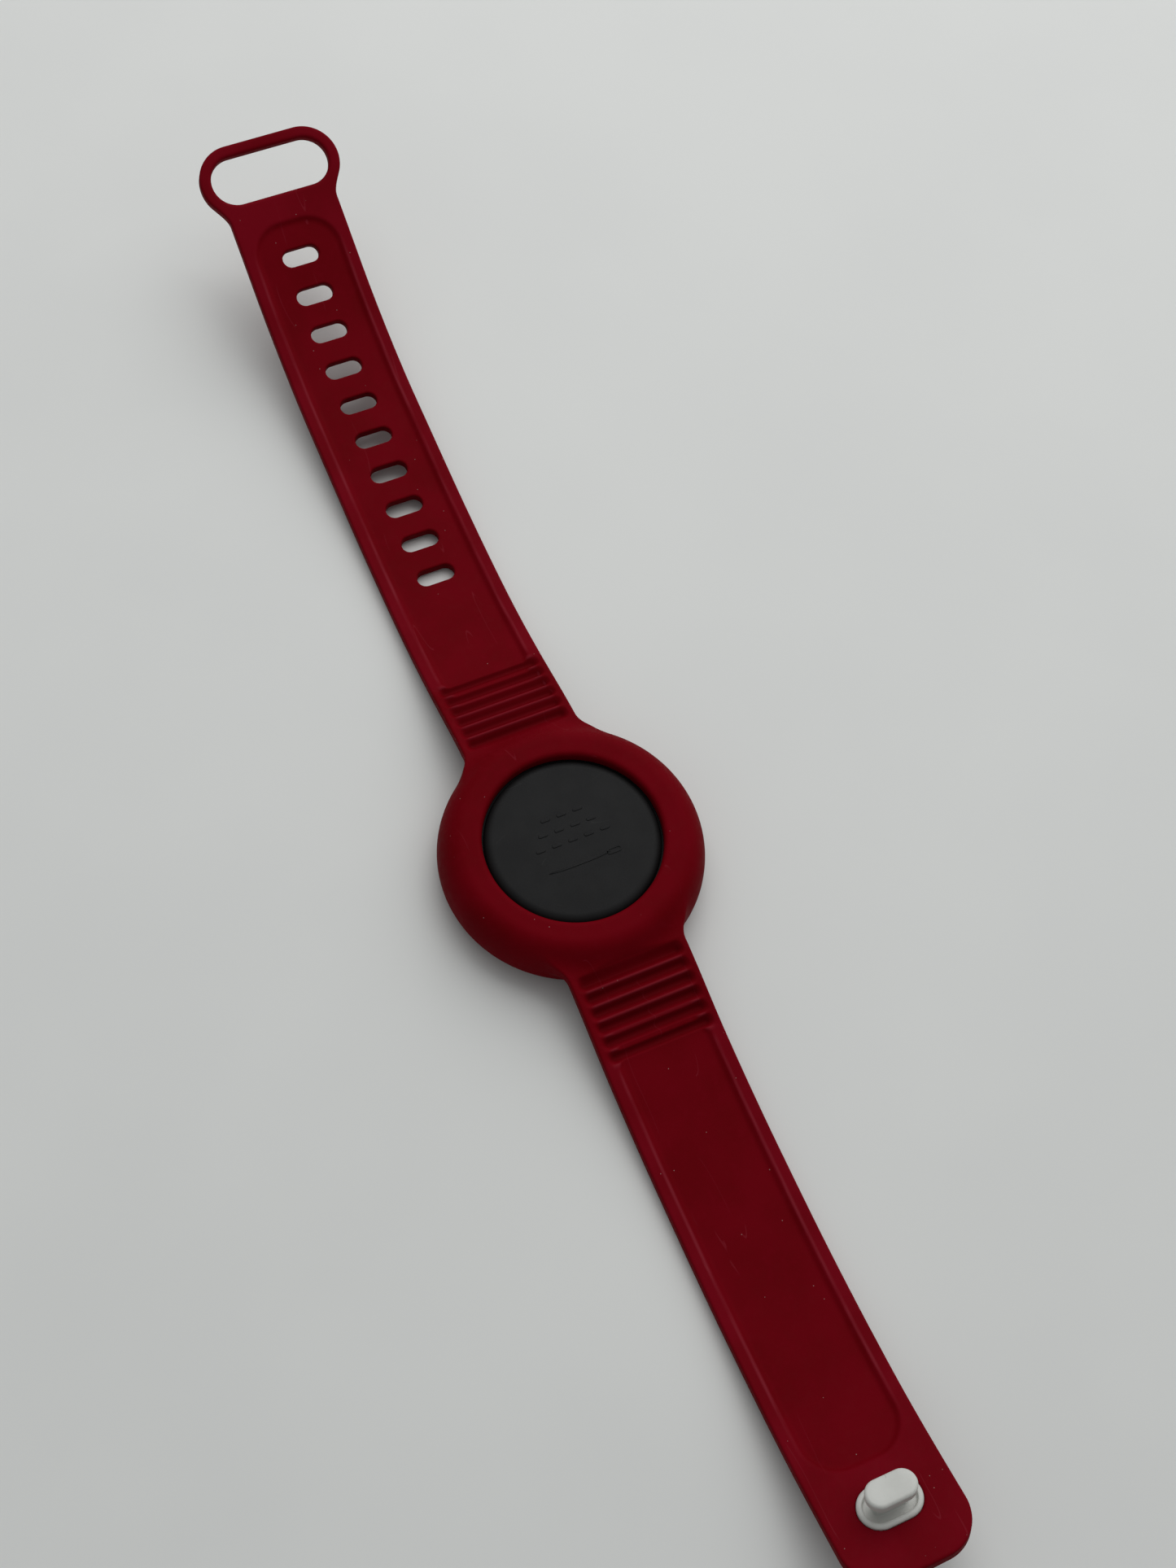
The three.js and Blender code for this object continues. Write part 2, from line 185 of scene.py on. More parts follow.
FLAT_S = 17.0                      # the band is flat out to here, inside the ring
FLAT_Z = 6.5                       # height of its middle surface there
PAD_SLOPE = math.radians(17.0)
PAD_LENGTH = 20.7
LOOP_SLOPE = math.radians(24.7)
LOOP_LENGTH = 17.8
SEAM_S = FIRST_GROOVE_S            # ring and strap meshes meet in the bottom of the first groove


# ---------- the curve that the band lies along ----------

def strap_joints(first_body):
    """One strap's joints, from the ring outwards."""
    outwards = {joint["parent"]: joint for joint in frame["joints"] if joint["parent"] != "ring"}
    joints = [joint for joint in frame["joints"] if joint["child"] == first_body]
    while joints[-1]["child"] in outwards:
        joints.append(outwards[joints[-1]["child"]])
    return joints


def hermite(start, end, start_slope, end_slope, steps):
    """Points of a smooth curve between two (x, z) points that has these slopes at its ends."""
    length = np.hypot(*(end - start))
    leave = length * np.array([math.cos(start_slope), math.sin(start_slope)])
    arrive = length * np.array([math.cos(end_slope), math.sin(end_slope)])
    t = np.linspace(0, 1, steps + 1)[:, None]
    return (
        start * (2 * t**3 - 3 * t**2 + 1)
        + leave * (t**3 - 2 * t**2 + t)
        + end * (3 * t**2 - 2 * t**3)
        + arrive * (t**3 - t**2)
    )


def strap_line(joints, last_slope, last_length):
    """One strap's line from the ring's centre: its stations, its (x, z) points and its hinges' stations."""
    spots = [np.array([abs(joint["pos_m"][0]), joint["pos_m"][2]]) / MM for joint in joints]
    tip = spots[-1] + last_length * np.array([math.cos(last_slope), math.sin(last_slope)])
    knots = [np.array([FLAT_S, FLAT_Z]), *spots, tip]
    runs = [after - before for before, after in zip(knots, knots[1:])]
    slopes = [math.atan2(run[1], run[0]) for run in runs]
    knot_slopes = [0.0] + [(a + b) / 2 for a, b in zip(slopes, slopes[1:])] + [last_slope]
    stations = FLAT_S + np.concatenate([[0], np.cumsum([np.hypot(*run) for run in runs])])
    steps = 24
    points = [np.array([[0, FLAT_Z]])]
    along = [np.array([0.0])]
    for i in range(len(runs)):
        points.append(hermite(knots[i], knots[i + 1], knot_slopes[i], knot_slopes[i + 1], steps)[:-1])
        along.append(np.linspace(stations[i], stations[i + 1], steps + 1)[:-1])
    past = 5.0                     # a straight stretch past the tip, for the grid that overlaps it
    direction = np.array([math.cos(last_slope), math.sin(last_slope)])
    points.append(np.array([tip, tip + past * direction]))
    along.append(np.array([stations[-1], stations[-1] + past]))
    return np.concatenate(along), np.concatenate(points), stations[1:-1]


STUD_JOINTS = strap_joints("stud_ribs")
HOLE_JOINTS = strap_joints("hole_ribs")
stud_s, stud_points, STUD_HINGES = strap_line(STUD_JOINTS, PAD_SLOPE, PAD_LENGTH)
hole_s, hole_points, HOLE_HINGES = strap_line(HOLE_JOINTS, LOOP_SLOPE, LOOP_LENGTH)
LINE_S = np.concatenate([-hole_s[:0:-1], stud_s])
LINE_X = np.concatenate([-hole_points[:0:-1, 0], stud_points[:, 0]])
LINE_Z = np.concatenate([hole_points[:0:-1, 1], stud_points[:, 1]])
LINE_ANGLE = np.arctan2(np.gradient(LINE_Z, LINE_S), np.gradient(LINE_X, LINE_S))


def bend(s, y, n):
    """The place in the frame, in millimetres, of a point of the unrolled band."""
    angle = np.interp(s, LINE_S, LINE_ANGLE)
    x = np.interp(s, LINE_S, LINE_X) - n * np.sin(angle)
    z = np.interp(s, LINE_S, LINE_Z) + n * np.cos(angle)
    return x, y, z


def on_line(s):
    """A point of the band's middle line, in metres."""
    x, _, z = bend(s, 0.0, 0.0)
    return (float(x) * MM, 0.0, float(z) * MM)


# ---------- solids as fields, below zero inside ----------

def ease(low, high, value):
    """0 up to low, 1 from high on, and a smooth step between."""
    t = np.clip((value - low) / (high - low), 0, 1)
    return t * t * (3 - 2 * t)


def smooth_or(a, b, radius):
    """Both solids together, with a soft blend where they meet."""
    h = np.maximum(radius - np.abs(a - b), 0) / radius
    return np.minimum(a, b) - h * h * radius / 4


def smooth_and(a, b, radius):
    """Both solids' common part, with a soft blend along their edge."""
    return -smooth_or(-a, -b, radius)


def round_and(a, b, radius):
    """Both solids' common part, with the edge between their faces rounded."""
    inside = np.minimum(-radius, np.maximum(a, b))
    return inside + np.hypot(np.maximum(a + radius, 0), np.maximum(b + radius, 0))


def round_or(a, b, radius):
    """Both solids together, with a fillet in the corner between their faces."""
    return -round_and(-a, -b, radius)


def stadium(s, y, centre, core, radius):
    """Distance to a stadium that lies across the band."""
    return np.hypot(s - centre, np.maximum(np.abs(y) - core, 0)) - radius


def oval(across, up, radius_across, radius_up):
    """Nearly the distance to an ellipse."""
    once = np.hypot(across / radius_across, up / radius_up)
    twice = np.hypot(across / radius_across**2, up / radius_up**2)
    return once * (once - 1) / np.maximum(twice, 1e-9)


def ring_field(x, y, z):
    """The ring: a dome over a rounded base, open in the middle, with a groove inside for the insert."""
    r = np.hypot(x, y)
    dome = oval(np.maximum(r - RING_CREST_RADIUS, 0), z - RING_WAIST_Z,
                RING_RADIUS - RING_CREST_RADIUS, RING_TOP - RING_WAIST_Z)
    base = oval(np.maximum(r - RING_LOWER_RADIUS, 0), z - RING_WAIST_Z,
                RING_RADIUS - RING_LOWER_RADIUS, RING_WAIST_Z - RING_BOTTOM)
    body = np.where(z > RING_WAIST_Z, dome, base)
    body = round_and(body, SKIN_OPENING_RADIUS - r, SKIN_OPENING_ROUND)
    body = round_and(body, -np.maximum(r - PIN_OPENING_RADIUS, z - LIP_LOWER_Z), PIN_OPENING_ROUND)
    middle = (LIP_UPPER_Z + LIP_LOWER_Z) / 2
    grip = np.maximum(r - GRIP_RADIUS, np.abs(z - middle) - (LIP_UPPER_Z - LIP_LOWER_Z) / 2)
    return np.maximum(body, -grip)


def band_plan(s, y):
    """Distance to the band's outline, seen from above and unrolled."""
    width = np.abs(y) - STRAP_HALF_WIDTH
    end = s - (PAD_END_S - PAD_BOW * (y / STRAP_HALF_WIDTH)**2)
    strip = round_and(width, end, PAD_CORNER)
    strip = np.maximum(strip, -LOOP_S - s)
    loop = stadium(s, y, -LOOP_S, LOOP_CORE, LOOP_OPENING_RADIUS + LOOP_RIM)
    strip = round_or(strip, loop, LOOP_NECK_FILLET)
    strip = round_or(strip, np.hypot(s, y) - ROOT_CIRCLE, ROOT_FILLET)
    return strip + 2 * HALF_T * ease(*ROOT_FADE, np.arctan2(np.abs(y), np.abs(s)))


def channel_side(s, y):
    """Distance to the middle of the channel's sloping side, seen from above, below zero in the channel."""
    along = np.abs(s)
    narrow = 1 - ease(*CHANNEL_NARROWING, along)
    half = CHANNEL_HALF_WIDTH + (RIB_CHANNEL_HALF_WIDTH - CHANNEL_HALF_WIDTH) * narrow
    end = np.where(s > 0, STUD_CHANNEL_END, HOLE_CHANNEL_END)
    return round_and(np.abs(y) - half, along - end, CHANNEL_CORNER)


def channel_sink(s, y):
    """How far the shallow channel lies below the rails."""
    depth = CHANNEL_DEPTH * ease(*CHANNEL_RUN_OUT, np.abs(s))
    return depth * (1 - ease(-CHANNEL_SLOPE / 2, CHANNEL_SLOPE / 2, channel_side(s, y)))


def groove_floor(s, y):
    """Height of the corrugated floor of the flexing grooves, which rises past the outer two."""
    along = np.abs(s) - FIRST_GROOVE_S
    nearest = np.clip(np.round(along / GROOVE_PITCH), 0, GROOVE_COUNT - 1)
    offset = along - nearest * GROOVE_PITCH
    reach = np.where(along < 0, FIRST_GROOVE_REACH, GROOVE_PITCH / 2)
    share = np.abs(offset) / reach
    depth = GROOVE_DEPTH + FIRST_GROOVE_EXTRA * (1 - ease(0, GROOVE_PITCH / 2, along))
    depth = depth * (1 - ease(*GROOVE_ENDS, np.abs(y)))
    trough = (0.5 + 0.5 * np.cos(math.pi * np.minimum(share, 1)))**GROOVE_CREST_POWER
    return HALF_T - depth * trough + GROOVE_END_SLOPE * np.maximum(share - 1, 0)


def band_field(s, y, n):
    """The whole silicone band, unrolled. Features well away from every point asked for are skipped."""
    slab = round_and(band_plan(s, y), np.abs(n) - HALF_T, EDGE_ROUND)
    solid = smooth_and(slab, n - HALF_T + channel_sink(s, y), CHANNEL_SOFTNESS)
    if np.min(np.abs(s)) < RING_RADIUS + 3:
        x, _, z = bend(s, y, n)
        root = np.maximum(solid, ROOT_INNER_RADIUS - np.hypot(x, y))
        solid = smooth_or(root, ring_field(x, y, z), ROOT_BLEND)
    if np.min(np.abs(s)) < CHANNEL_RUN_OUT[1] + 4:
        trough = np.maximum(groove_floor(s, y) - n, np.abs(y) - GROOVE_ENDS[1])
        solid = smooth_and(solid, -trough, GROOVE_SOFTNESS)
    for i in range(HOLE_COUNT):
        centre = -(FIRST_HOLE_S + i * HOLE_PITCH)
        if np.min(s) < centre + 3 and np.max(s) > centre - 3:
            solid = round_and(solid, -stadium(s, y, centre, HOLE_CORE, HOLE_RADIUS), HOLE_EDGE_ROUND)
    if np.min(s) < -LOOP_S + 8:
        solid = round_and(solid, -stadium(s, y, -LOOP_S, LOOP_CORE, LOOP_OPENING_RADIUS), LOOP_EDGE_ROUND)
    if np.max(s) > STUD_S - 6:
        pocket = stadium(s, y, STUD_S, STUD_CORE, COLLAR_RADIUS + FIT)
        pocket = np.maximum(pocket, HALF_T - COLLAR_SINK - FIT - n)
        slot = stadium(s, y, STUD_S, STUD_CORE, NECK_RADIUS + FIT)
        solid = round_and(solid, -np.minimum(pocket, slot), POCKET_EDGE_ROUND)
    return solid


# ---------- a quad mesh of a field's surface ----------

CORNERS = [(i, j, k) for i in (0, 1) for j in (0, 1) for k in (0, 1)]
EDGES = [(a, b) for a in CORNERS for b in CORNERS if a < b and math.dist(a, b) == 1]


def lines(start, *spans):
    """Grid lines from start through spans of (end, step)."""
    found = [np.array([float(start)])]
    for end, step in spans:
        begin = found[-1][-1]
        count = max(1, round(abs(end - begin) / step))
        found.append(np.linspace(begin, end, count + 1)[1:])
    return np.concatenate(found)


def both_ways(half):
    """Grid lines from 0 outwards, and the same again on the negative side."""
    return np.concatenate([-half[:0:-1], half])


def net_points(value, cells, grid):
    """One point for each cell that the surface crosses: the mean of its edges' crossings."""
    total = np.zeros((len(cells[0]), 3))
    count = np.zeros(len(cells[0]))
    for a, b in EDGES:
        at_a = [cells[axis] + a[axis] for axis in range(3)]
        at_b = [cells[axis] + b[axis] for axis in range(3)]
        value_a, value_b = value[tuple(at_a)], value[tuple(at_b)]
        crosses = (value_a < 0) != (value_b < 0)
        share = np.where(crosses, value_a / np.where(crosses, value_a - value_b, 1), 0)
        for axis in range(3):
            from_a, to_b = grid[axis][at_a[axis]], grid[axis][at_b[axis]]
            total[:, axis] += crosses * (from_a + (to_b - from_a) * share)
        count += crosses
    return total / count[:, None]


def onto_surface(points, fixed_s, passes=5, reach=0.004):
    """Moves points onto the band's surface, square to it. Points on a cut stay in its plane."""
    for _ in range(passes):
        s, y, n = points.T
        value = band_field(s, y, n)
        slope = np.stack([
            band_field(s + reach, y, n) - band_field(s - reach, y, n),
            band_field(s, y + reach, n) - band_field(s, y - reach, n),
            band_field(s, y, n + reach) - band_field(s, y, n - reach),
        ], 1) / (2 * reach)
        slope[fixed_s, 0] = 0
        step = value / np.maximum((slope**2).sum(1), 0.05)
        points = points - np.clip(step, -0.1, 0.1)[:, None] * slope
    return points


def net_faces(solid, index):
    """A quad round each grid edge that the surface crosses, facing out of the solid."""
    faces = []
    for axis in range(3):
        order = (axis, (axis + 1) % 3, (axis + 2) % 3)
        node = np.transpose(solid, order)
        cell = np.transpose(index, order)
        i, j, k = np.nonzero(node[:-1, 1:-1, 1:-1] != node[1:, 1:-1, 1:-1])
        quad = np.stack([cell[i, j, k], cell[i, j + 1, k], cell[i, j + 1, k + 1], cell[i, j, k + 1]], 1)
        inward = ~node[i, j + 1, k + 1]
        quad[inward] = quad[inward][:, ::-1]
        faces.append(quad)
    return np.concatenate(faces)


def band_net(s_lines, y_lines, n_lines, cuts):
    """Points and quads of the band over a grid, cut square at the s values in cuts."""
    grid = [s_lines, y_lines, n_lines]
    if s_lines[0] in cuts:
        grid[0] = np.concatenate([[s_lines[0]], grid[0]])
    if s_lines[-1] in cuts:
        grid[0] = np.concatenate([grid[0], [s_lines[-1]]])
    value = band_field(*np.meshgrid(*grid, indexing="ij"))
    solid = value < 0
    around = sum(solid[i:len(grid[0]) - 1 + i, j:len(y_lines) - 1 + j, k:len(n_lines) - 1 + k].astype(int)
                 for i, j, k in CORNERS)
    cells = np.nonzero((around > 0) & (around < 8))
    index = np.full(around.shape, -1)
    index[cells] = np.arange(len(cells[0]))
    points = net_points(value, cells, grid)
    fixed = np.isin(points[:, 0], cuts)
    return onto_surface(points, fixed), net_faces(solid, index)


def cap_cuts(mesh, tongue_from):
    """Closes a band mesh where it was cut, with a sharp edge round each cap.

    A cap further out than tongue_from metres carries a short, slightly tapered tongue. It lies hidden in
    the next stretch, and fills the fine crack that would open between them as the band curls.
    """
    work = bmesh.new()
    work.from_mesh(mesh)
    bmesh.ops.remove_doubles(work, verts=work.verts, dist=MERGE_DISTANCE * MM)
    rim = [edge for edge in work.edges if edge.is_boundary]
    for edge in rim:
        edge.smooth = False
    caps = bmesh.ops.holes_fill(work, edges=rim, sides=0)["faces"]
    bmesh.ops.recalc_face_normals(work, faces=work.faces)
    outer = [cap for cap in caps if abs(cap.calc_center_median().x) > tongue_from]
    if outer:
        bmesh.ops.inset_individual(work, faces=outer, thickness=TONGUE_TAPER * MM, depth=TONGUE_LENGTH * MM)
    for edge in {edge for cap in caps for edge in cap.edges}:
        edge.smooth = False
    work.to_mesh(mesh)
    work.free()


def smooth(mesh):
    mesh.polygons.foreach_set("use_smooth", np.ones(len(mesh.polygons), bool))


def add_object(name, mesh):
    piece = bpy.data.objects.new(name, mesh)
    bpy.context.scene.collection.objects.link(piece)
    return piece


def band_piece(name, s_lines, y_lines, n_lines, cuts, tongue_from):
    """One stretch of the band as a closed mesh, bent into place."""
    points, faces = band_net(s_lines, y_lines, n_lines, cuts)
    mesh = bpy.data.meshes.new(name)
    placed = np.stack(bend(*points.T), 1) * MM
    mesh.vertices.add(len(placed))
    mesh.vertices.foreach_set("co", placed.astype(np.float32).ravel())
    mesh.loops.add(faces.size)
    mesh.loops.foreach_set("vertex_index", faces.astype(np.int32).ravel())
    mesh.polygons.add(len(faces))
    mesh.polygons.foreach_set("loop_start", np.arange(0, faces.size, 4, dtype=np.int32))
    mesh.update(calc_edges=True)
    place = mesh.attributes.new("band_place", "FLOAT_VECTOR", "POINT")
    place.data.foreach_set("vector", points.astype(np.float32).ravel())
    side = mesh.attributes.new("channel_side", "FLOAT", "POINT")
    side.data.foreach_set("value", channel_side(points[:, 0], points[:, 1]).astype(np.float32))
    cap_cuts(mesh, tongue_from)
    smooth(mesh)
    return add_object(name, mesh)


# ---------- the silicone band, in stretches round one hinge each -----------------

N_LINES = lines(-1.34, (-0.62, 0.12), (0.1, 0.36), (1.34, 0.124))
RING_N_LINES = np.concatenate([lines(-6.4, (-1.34, 0.3))[:-1], N_LINES, lines(1.34, (3.8, 0.2))[1:]])
EDGE_SPANS = ((6.0, 0.6), (8.9, 0.24), (10.1, 0.12))
PLAIN_Y_LINES = both_ways(lines(0, *EDGE_SPANS))
FINE_Y_LINES = both_ways(lines(0, (3.6, 0.3), (6.0, 0.4), *EDGE_SPANS[1:]))
RING_Y_LINES = both_ways(lines(0, (6.0, 0.4), *EDGE_SPANS[1:], (21.4, 0.36)))
LOOP_Y_LINES = both_ways(lines(0, (6.0, 0.4), *EDGE_SPANS[1:], (13.3, 0.25)))
GUARD = 0.04                       # a very narrow first step beside a cut keeps its shading true
MERGE_DISTANCE = 0.001             # surface points closer than this become one
TONGUE_LENGTH = 0.45               # longer than the widest crack at full bend
TONGUE_TAPER = 0.04                # how much lower than the surface its tip lies


def stretch_lines(start, end, step, end_is_cut):
    """Grid lines along a stretch, with a narrow step beside each cut. Its start is always a cut."""
    if end_is_cut:
        return lines(start, (start + GUARD, GUARD), (end - GUARD, step), (end, GUARD))
    return lines(start, (start + GUARD, GUARD), (end, step))


def make_ring(material):
    side = lines(0, (19.6, 0.36), (SEAM_S - GUARD, 0.2), (SEAM_S, GUARD))
    ring = band_piece("band_ring", both_ways(side), RING_Y_LINES, RING_N_LINES, (-SEAM_S, SEAM_S), 0.0)
    ring.data.materials.append(material)
    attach(ring, "ring")
    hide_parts("silicone_ring")


def make_strap(joints, hinges, tip, side, material, step_for, y_lines_for):
    """A strap as one piece for each hinge, from the middle of one link to the middle of the next.

    The whole band is bent along one smooth curve, so neighbouring pieces meet at the same height and slope.
    The first piece starts in the bottom of the first groove, where it meets the ring, and the last one runs
    out to the strap's tip.
    """
    cuts = [SEAM_S, *((a + b) / 2 for a, b in zip(hinges, hinges[1:])), tip]
    for i, joint in enumerate(joints):
        start, end = cuts[i], cuts[i + 1]
        is_last = i == len(joints) - 1
        s_lines = stretch_lines(start, end, step_for(start, end), not is_last)
        if side < 0:
            s_lines = -s_lines[::-1]
        faces_cut = (side * start,) if is_last else (side * start, side * end)
        tongue_from = abs(on_line(side * hinges[i])[0])
        piece = band_piece("band_" + joint["child"], s_lines, y_lines_for(end), N_LINES, faces_cut,
                           tongue_from)
        piece.data.materials.append(material)
        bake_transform(piece)
        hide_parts(frame["record"]["behaviour"]["bodies"][joint["child"]][0])


def stud_step(start, end):
    """Grid steps are fine over the ribs and the stud's pocket, and coarse on the plain strap."""
    if start < 35:
        return 0.2
    return 0.3 if end > 100 else 0.8


def hole_step(start, end):
    """Grid steps are fine over the ribs and from the first hole on."""
    if start < 35:
        return 0.2
    return 0.3 if end > 50 else 0.8


def stud_y_lines(end):
    return FINE_Y_LINES if end > 100 else PLAIN_Y_LINES


def hole_y_lines(end):
    if end > 120:
        return LOOP_Y_LINES
    return FINE_Y_LINES if end > 50 else PLAIN_Y_LINES


# ---------- turned pieces, round or drawn out to a stadium ----------

def rounded_path(corners):
    """A path through corners of (out, up, radius), with each corner rounded to its radius."""
    path = []
    for i, (out, up, radius) in enumerate(corners):
        here = np.array([out, up], float)
        if radius == 0 or i in (0, len(corners) - 1):
            path.append(here)
            continue
        back = np.array(corners[i - 1][:2], float) - here
        ahead = np.array(corners[i + 1][:2], float) - here
        back /= np.hypot(*back)
        ahead /= np.hypot(*ahead)
        half = math.acos(np.clip(back @ ahead, -1, 1)) / 2
        centre = here + (back + ahead) / np.hypot(*(back + ahead)) * radius / math.sin(half)
        first = here + back * radius / math.tan(half) - centre
        last = here + ahead * radius / math.tan(half) - centre
        start = math.atan2(first[1], first[0])
        sweep = (math.atan2(last[1], last[0]) - start + math.pi) % (2 * math.pi) - math.pi
        steps = 6
        for j in range(steps + 1):
            angle = start + sweep * j / steps
            path.append(centre + radius * np.array([math.cos(angle), math.sin(angle)]))
    return np.array(path)


def turned(name, corners, core=0.0, steps=48):
    """A closed solid turned about Z, or swept round a core line of that half length along Y."""
    path = rounded_path(corners)
    half_turn = np.linspace(0, math.pi, steps + 1)
    angles = np.concatenate([half_turn, half_turn + math.pi])
    shift = np.repeat([core, -core], steps + 1)
    out, up = path[:, :1], path[:, 1:]
    x = out * np.cos(angles)
    y = out * np.sin(angles) + shift
    points = np.stack([x, y, np.broadcast_to(up, x.shape)], 2).reshape(-1, 3) * MM
    around = len(angles)
    faces = [
        (i * around + j, i * around + (j + 1) % around,
         (i + 1) * around + (j + 1) % around, (i + 1) * around + j)
        for i in range(len(path) - 1) for j in range(around)
    ]
    mesh = bpy.data.meshes.new(name)
    mesh.from_pydata(points.tolist(), [], faces)
    work = bmesh.new()
    work.from_mesh(mesh)
    bmesh.ops.remove_doubles(work, verts=work.verts, dist=1e-7)
    bmesh.ops.recalc_face_normals(work, faces=work.faces)
    work.to_mesh(mesh)
    work.free()
    smooth(mesh)
    return add_object(name, mesh)


def finish_piece(piece, body, node, material):
    """Gives a hard piece its material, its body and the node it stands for."""
    piece.data.materials.append(material)
    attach(piece, body)
    if node:
        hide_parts(node)


def motif_part(corners, core=0.0, stretch=(1, 1), place=(0, 0)):
    """The mesh of one raised shape of the motif."""
    part = turned("motif_part", corners, core, 16)
    mesh = part.data
    bpy.data.objects.remove(part)
    shift = Matrix.Translation((place[0] * MM, place[1] * MM, 0))
    mesh.transform(shift @ Matrix.Diagonal((*stretch, 1, 1)))
    return mesh


def make_motif(plastic):
    """A plain needle under three rows of stitches, moulded just proud of the cover's face."""
    low = COVER_FACE_Z - MOTIF_SINK
    high = COVER_FACE_Z + MOTIF_RISE
    stitch = [(0, low, 0), (STITCH_RADIUS, low, 0), (STITCH_RADIUS, high, 0.06), (0, high, 0)]
    shaft = [(0, low, 0), (1, low, 0), (0.9, high, 0), (0, high, 0)]
    eye = [(0.22, low, 0), (0.55, low, 0), (0.5, high, 0), (0.27, high, 0), (0.22, low, 0)]
    parts = [
        motif_part(shaft, stretch=(0.36, 5.6), place=(NEEDLE_X, -0.6)),
        motif_part(eye, core=0.75, place=(NEEDLE_X, 5.2)),
    ]
    for row, count in enumerate(STITCH_ROWS):
        for i in range(count):
            spot = (FIRST_ROW_X + ROW_PITCH * row, (i - (count - 1) / 2) * STITCH_PITCH)
            parts.append(motif_part(stitch, core=STITCH_CORE, place=spot))
    mesh = bpy.data.meshes.new("cover_motif")
    work = bmesh.new()
    for part in parts:
        work.from_mesh(part)
    work.to_mesh(mesh)
    work.free()
    smooth(mesh)
    mesh.set_sharp_from_angle(angle=math.radians(40))
    finish_piece(add_object("cover_motif", mesh), "ring", None, plastic)


def make_pin_holder(plastic, ferrite, steel):
    """The insert: a tray, its cover with the motif, and the magnet and keeper plate between them."""
    flange = GRIP_RADIUS - GAP
    neck = PIN_OPENING_RADIUS - GAP
    cavity = TRAY_CAVITY_RADIUS
    tray = turned("pin_holder_tray", [
        (0, 0, 0), (neck, 0, 0.8), (neck, LIP_LOWER_Z + GAP, 0.1), (flange, LIP_LOWER_Z + GAP, 0.2),
        (flange, TRAY_TOP, 0.2), (cavity, TRAY_TOP, 0.1), (cavity, TRAY_FLOOR_Z, 0.3), (0, TRAY_FLOOR_Z, 0),
    ], steps=96)
    finish_piece(tray, "ring", "pin_tray", plastic)
    turns = [math.radians(9 * i) for i in range(11)]
    face_edge = [
        (COVER_RADIUS - COVER_EDGE_WIDTH * (1 - math.cos(turn)),
         COVER_FACE_Z - COVER_EDGE_HEIGHT * (1 - math.sin(turn)), 0)
        for turn in turns
    ]
    spigot_low = COVER_BASE - SPIGOT_LENGTH
    cover = turned("pin_holder_cover", [
        (0, COVER_BASE, 0), (SPIGOT_INNER_RADIUS, COVER_BASE, 0.1), (SPIGOT_INNER_RADIUS, spigot_low, 0.1),
        (cavity - GAP, spigot_low, 0.1), (cavity - GAP, COVER_BASE, 0.1), (flange, COVER_BASE, 0.2),
        (flange, COVER_SHOULDER, 0.2), (COVER_RADIUS, COVER_SHOULDER, 0.15),
        *face_edge, (0, COVER_FACE_Z, 0),
    ], steps=96)
    finish_piece(cover, "ring", "back_cover", plastic)
    make_motif(plastic)
    magnet_low, magnet_high = (corner[2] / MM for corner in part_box("magnet"))
    magnet = turned("holder_magnet", [
        (0, magnet_low, 0), (MAGNET_RADIUS, magnet_low, 0.3),
        (MAGNET_RADIUS, magnet_high, 0.3), (0, magnet_high, 0),
    ])
    finish_piece(magnet, "ring", "magnet", ferrite)
    plate_low, plate_high = (corner[2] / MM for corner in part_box("keeper_plate"))
    plate = turned("holder_keeper_plate", [
        (0, plate_low, 0), (MAGNET_RADIUS, plate_low, 0.15),
        (MAGNET_RADIUS, plate_high, 0.15), (0, plate_high, 0),
    ])
    finish_piece(plate, "ring", "keeper_plate", steel)


def on_strap(piece, s):
    """Stands a piece drawn about Z on the band's middle surface at station s."""
    x, _, z = bend(s, 0.0, 0.0)
    slope = float(np.interp(s, LINE_S, LINE_ANGLE))
    place = Matrix.Translation((float(x) * MM, 0, float(z) * MM)) @ Matrix.Rotation(-slope, 4, "Y")
    piece.data.transform(place)


def make_stud(plastic):
    """The closure stud in its pocket, and the plate that holds its tail on the other side."""
    collar_top = HALF_T + COLLAR_RISE
    well_floor = collar_top - COLLAR_WELL_DEPTH
    collar_low = HALF_T - COLLAR_SINK
    head_top = HALF_T + HEAD_TOP
    head_low = head_top - HEAD_THICKNESS
    tail = -HALF_T - STUD_TAIL
    stud = turned("stud_closure", [
        (0, tail, 0), (NECK_RADIUS, tail, 0.15), (NECK_RADIUS, collar_low, 0.1),
        (COLLAR_RADIUS, collar_low, 0.15), (COLLAR_RADIUS, collar_top, 0.45),
        (COLLAR_RIM_RADIUS, collar_top, 0.16), (COLLAR_WELL_RADIUS, well_floor, 0.16),
        (NECK_RADIUS + 0.1, well_floor, 0.25), (NECK_RADIUS, head_low, 0.2),
        (HEAD_RADIUS - 0.1, head_low, 0.2), (HEAD_RADIUS, head_top - 0.06, 0.5),
        (HEAD_RADIUS - 1.0, head_top, 0.8), (0, head_top + 0.03, 0),
    ], core=STUD_CORE, steps=40)
    on_strap(stud, STUD_S)
    finish_piece(stud, "stud_end", "closure_stud", plastic)
    plate_top = -HALF_T - FIT
    plate_low = plate_top - BACK_PLATE_THICKNESS
    well = plate_top - BACK_PLATE_WELL
    plate = turned("stud_back_plate", [
        (0, well, 0), (NECK_RADIUS + FIT, well, 0.05), (NECK_RADIUS + FIT, plate_top, 0.05),
        (COLLAR_RADIUS, plate_top, 0.1), (COLLAR_RADIUS, plate_low, 0.45), (0, plate_low - 0.05, 0),
    ], core=STUD_CORE, steps=40)
    on_strap(plate, STUD_S)
    finish_piece(plate, "stud_end", "stud_back_cap", plastic)


# ---------- materials ----------

